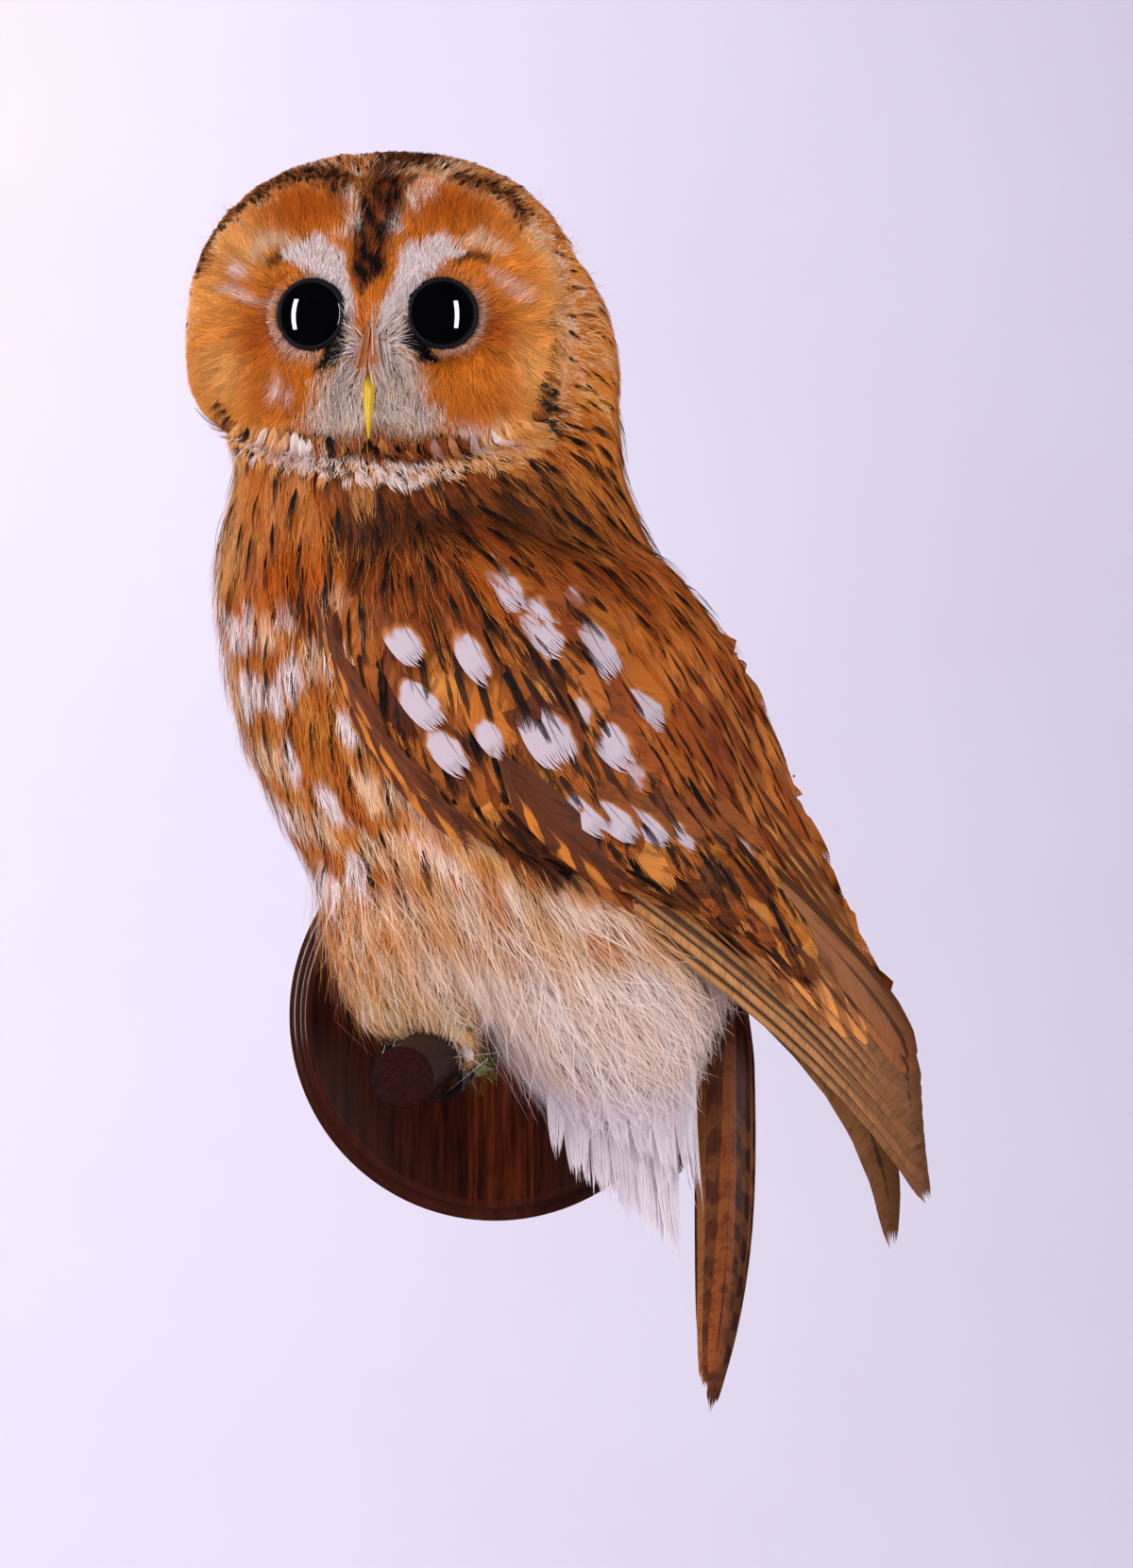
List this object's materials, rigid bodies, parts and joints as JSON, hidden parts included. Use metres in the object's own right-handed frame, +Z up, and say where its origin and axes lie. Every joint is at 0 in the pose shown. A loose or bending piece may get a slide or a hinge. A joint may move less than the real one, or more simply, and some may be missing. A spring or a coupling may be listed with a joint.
{
  "type": "taxidermy tawny owl",
  "caption": "Life-size mounted tawny owl with folded wings, perched on a peg that stands out from a round moulded wall plaque.",
  "frame": {"origin": "centre of the round plaque's flat back face", "axes": "+Y into the wall, square to the plaque's back; +Z up; +X to the viewer's right, towards the bird's tail and wing tips"},
  "size_m": [0.2327, 0.1586, 0.3966],
  "materials": {
    "rufous_plumage": "soft matte feathers",
    "pale_plumage": "soft matte down",
    "flight_feathers": "smooth matte vanes",
    "eye": "black glass-like gloss",
    "bill": "semi-gloss horn",
    "claw": "semi-gloss dark horn",
    "toe_plumage": "short matte down",
    "plaque_wood": "varnished dark mahogany",
    "peg_wood": "rough dark stained dowel",
    "moss": "dry matte moss"
  },
  "bodies": {
    "root": {"head": "rufous_plumage", "neck": "rufous_plumage", "trunk": "pale_plumage", "eye_left": "eye", "eye_right": "eye", "bill_upper": "bill", "bill_lower": "bill", "wing_left": "rufous_plumage", "wing_right": "rufous_plumage", "flight_feathers_left": "flight_feathers", "flight_feathers_right": "flight_feathers", "tail": "flight_feathers", "leg_left": "pale_plumage", "foot_left": "toe_plumage", "claw_left_1": "claw", "claw_left_2": "claw", "claw_left_3": "claw", "claw_left_4": "claw", "leg_right": "pale_plumage", "foot_right": "toe_plumage", "claw_right_1": "claw", "claw_right_2": "claw", "claw_right_3": "claw", "claw_right_4": "claw", "moss": "moss", "perch_peg": "peg_wood", "plaque": "plaque_wood"}
  },
  "joints": []
}
